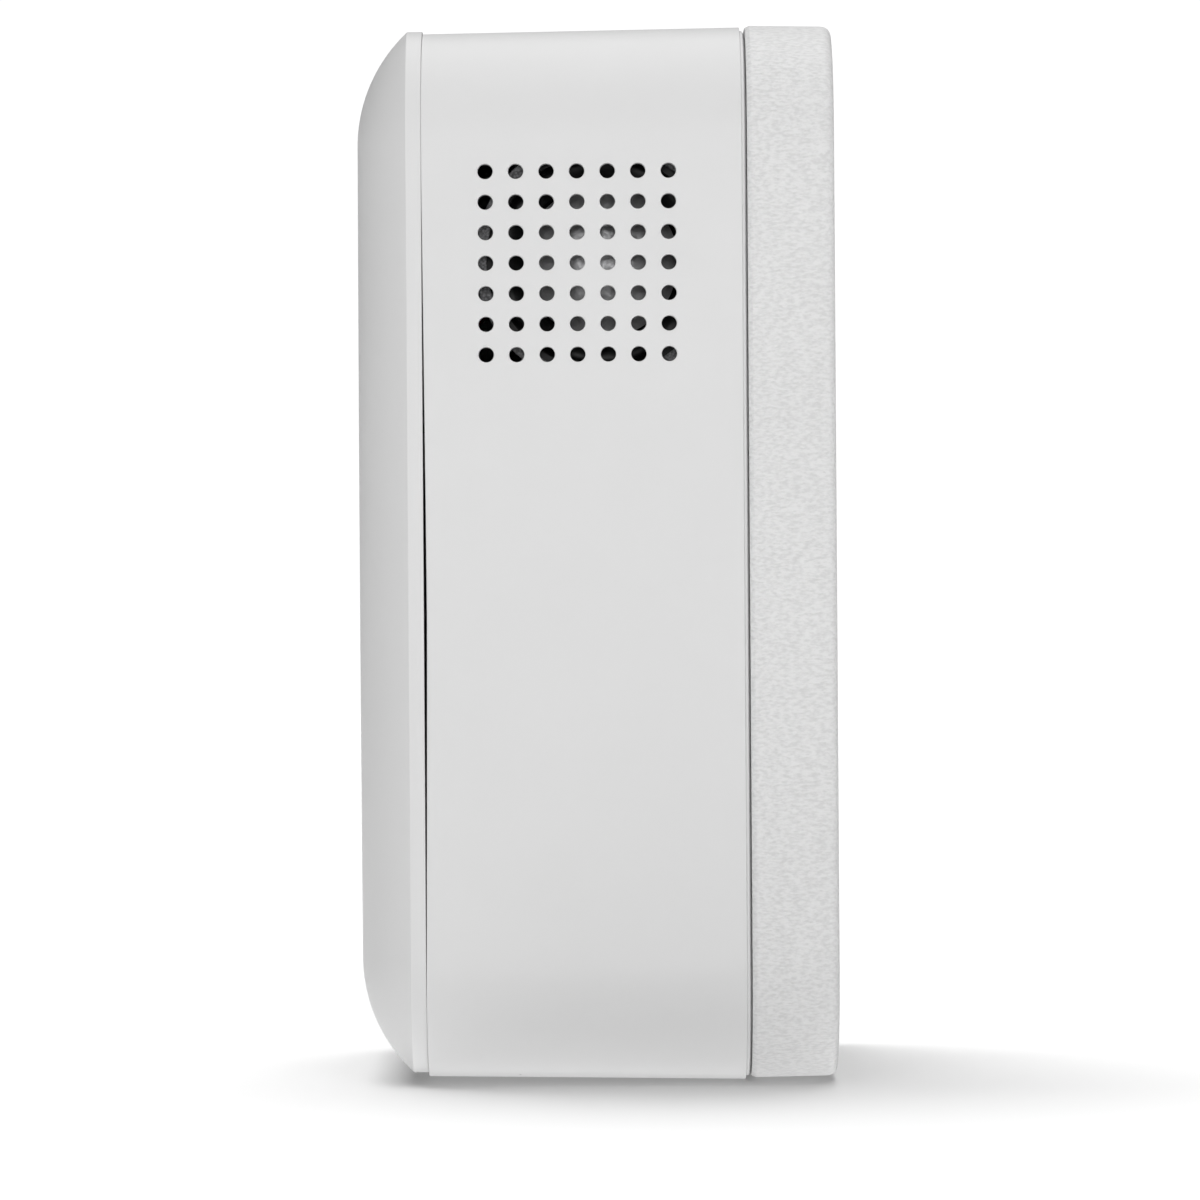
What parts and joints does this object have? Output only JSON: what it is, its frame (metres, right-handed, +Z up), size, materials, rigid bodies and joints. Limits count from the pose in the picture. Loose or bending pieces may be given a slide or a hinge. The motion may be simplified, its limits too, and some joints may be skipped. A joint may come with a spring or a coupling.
{
  "type": "alarm siren",
  "caption": "Indoor wall siren: rolled-edge front cover, smooth housing with a square side grille, textured wall base.",
  "frame": {"origin": "middle of the bounding box's bottom face, under the housing's underside", "axes": "+Z up as it hangs on the wall, +Y towards the wall, +X out through the grille; the front cover faces -Y"},
  "size_m": [0.09, 0.06, 0.133],
  "materials": {
    "satin_white_plastic": "satin moulded white",
    "textured_white_plastic": "spark-textured moulded white",
    "black_plastic": "moulded black",
    "cone_film": "black pressed film",
    "dome_film": "grey metallised film",
    "cream_plastic": "moulded cream",
    "green_plastic": "moulded green",
    "red_plastic": "moulded red",
    "red_insulation": "flexible vinyl",
    "black_insulation": "flexible vinyl",
    "grey_insulation": "flexible vinyl",
    "clear_acrylic": "polished clear",
    "led_lens": "tinted clear",
    "circuit_board": "green solder mask",
    "zinc_steel": "bright zinc plate",
    "spring_steel": "nickel plated",
    "component_can": "tinned shield",
    "copper_winding": "enamelled copper",
    "ferrite": "ground ferrite",
    "foam": "closed-cell foam",
    "cell_sleeve": "plain printed sleeve",
    "capacitor_sleeve": "plain sleeve"
  },
  "bodies": {
    "base": {"wall_base": "textured_white_plastic"},
    "housing": {"main_housing": "satin_white_plastic", "front_cover": "satin_white_plastic", "battery_cover": "satin_white_plastic", "light_pipe": "clear_acrylic", "cover_screw_1": "zinc_steel", "cover_screw_2": "zinc_steel", "cover_screw_3": "zinc_steel", "cover_screw_4": "zinc_steel", "lock_screw": "zinc_steel", "lock_nut": "zinc_steel", "sounder_gasket": "foam", "sounder_frame": "black_plastic", "sounder_magnet": "ferrite", "sounder_yoke": "zinc_steel", "sounder_retainer": "black_plastic", "sounder_screw_1": "zinc_steel", "sounder_screw_2": "zinc_steel", "sounder_screw_3": "zinc_steel", "main_board": "circuit_board", "board_screw_1": "zinc_steel", "board_screw_2": "zinc_steel", "radio_module": "component_can", "controller_chip": "black_plastic", "drive_inductor": "ferrite", "capacitor": "capacitor_sleeve", "battery_connector": "cream_plastic", "sounder_connector": "cream_plastic", "status_led": "led_lens", "terminal_block": "green_plastic", "terminal_screw_1": "zinc_steel", "terminal_screw_2": "zinc_steel", "tamper_switch_body": "black_plastic", "learn_button_body": "component_can", "power_switch_body": "component_can", "battery_tray": "black_plastic", "battery_cell_1": "cell_sleeve", "battery_cell_2": "cell_sleeve", "battery_cell_3": "cell_sleeve", "battery_cell_4": "cell_sleeve", "battery_contact_1": "spring_steel", "battery_contact_2": "spring_steel", "battery_contact_3": "spring_steel", "battery_contact_4": "spring_steel", "battery_contact_5": "spring_steel", "battery_cover_screw_1": "zinc_steel", "battery_cover_screw_2": "zinc_steel", "battery_cover_screw_3": "zinc_steel", "sounder_lead_red": "red_insulation", "sounder_lead_black": "black_insulation", "battery_lead_red": "red_insulation", "battery_lead_black": "black_insulation", "aerial_wire": "grey_insulation"},
    "diaphragm": {"sounder_cone": "cone_film", "sounder_dome": "dome_film", "voice_coil": "copper_winding"},
    "tamper": {"tamper_plunger": "cream_plastic", "tamper_spring": "spring_steel"},
    "learn_cap": {"learn_button_cap": "red_plastic"},
    "power_slider": {"power_switch_slider": "black_plastic"}
  },
  "joints": [
    {"name": "housing_swing", "type": "hinge", "parent": "base", "child": "housing", "pos_m": [0, 0.01925, 0.1324], "axis": [-1, 0, 0], "range_deg": [0, 30]},
    {"name": "tamper_travel", "type": "slide", "parent": "housing", "child": "tamper", "axis": [0, 1, 0], "range_m": [0, 0.0016], "deforming": ["tamper_spring"]},
    {"name": "learn_press", "type": "slide", "parent": "housing", "child": "learn_cap", "axis": [0, -1, 0], "range_m": [0, 0.0005], "stiffness_N_per_m": 800},
    {"name": "power_slide", "type": "slide", "parent": "housing", "child": "power_slider", "axis": [1, 0, 0], "range_m": [0, 0.002]},
    {"name": "diaphragm_travel", "type": "slide", "parent": "housing", "child": "diaphragm", "axis": [1, 0, 0], "range_m": [-0.0006, 0.0006], "stiffness_N_per_m": 2000}
  ],
  "couplings": [
    {"joint": "tamper_travel", "follows": "housing_swing", "m_per_rad": 0.003}
  ]
}
